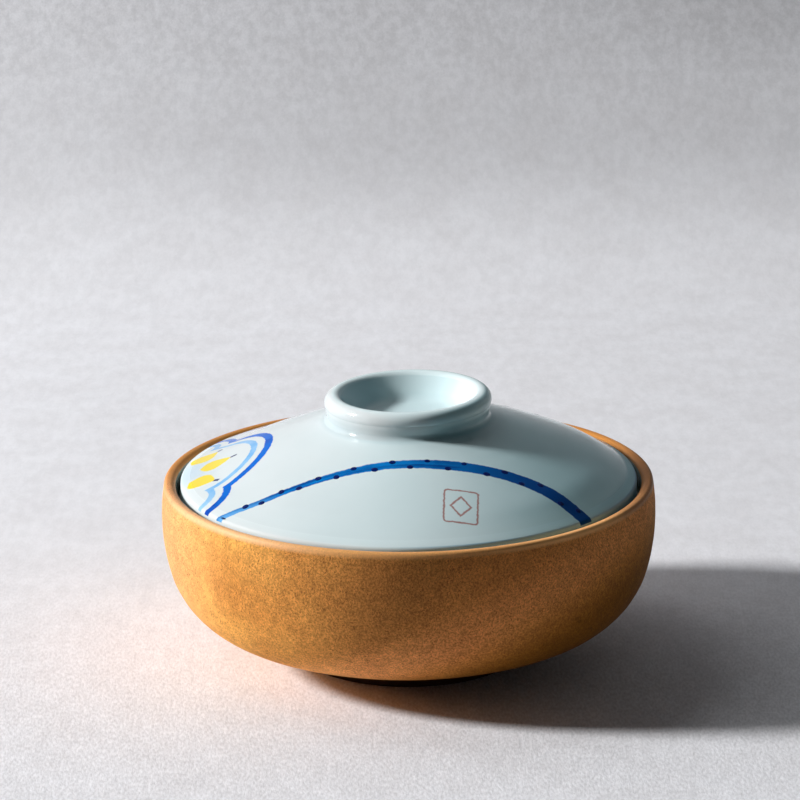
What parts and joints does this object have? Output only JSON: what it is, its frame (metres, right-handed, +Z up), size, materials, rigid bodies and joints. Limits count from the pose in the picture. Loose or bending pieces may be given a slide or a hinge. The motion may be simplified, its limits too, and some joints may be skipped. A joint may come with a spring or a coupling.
{
  "type": "donburi bowl with lid",
  "caption": "Round stoneware rice bowl on a low foot ring, with a domed porcelain lid that drops onto a ledge inside the rim and has a dished ring grip.",
  "frame": {"origin": "centre of the foot ring's underside, on the surface that the bowl stands on", "axes": "+Z up along the axis that the bowl and lid were turned about; -Y is the side with the small square mark on the lid"},
  "size_m": [0.17, 0.17, 0.0941],
  "materials": {
    "stoneware": "bare orange-brown fired clay with fine dark specks, glazed grey-green inside",
    "celadon_glaze": "glossy pale blue-green glaze over white porcelain, with blue brushwork"
  },
  "bodies": {
    "bowl": {"bowl": "stoneware"},
    "lid": {"lid": "celadon_glaze"}
  },
  "joints": [
    {"name": "lid_lift", "type": "slide", "parent": "bowl", "child": "lid", "axis": [0, 0, 1], "range_m": [0, 0.08]}
  ]
}
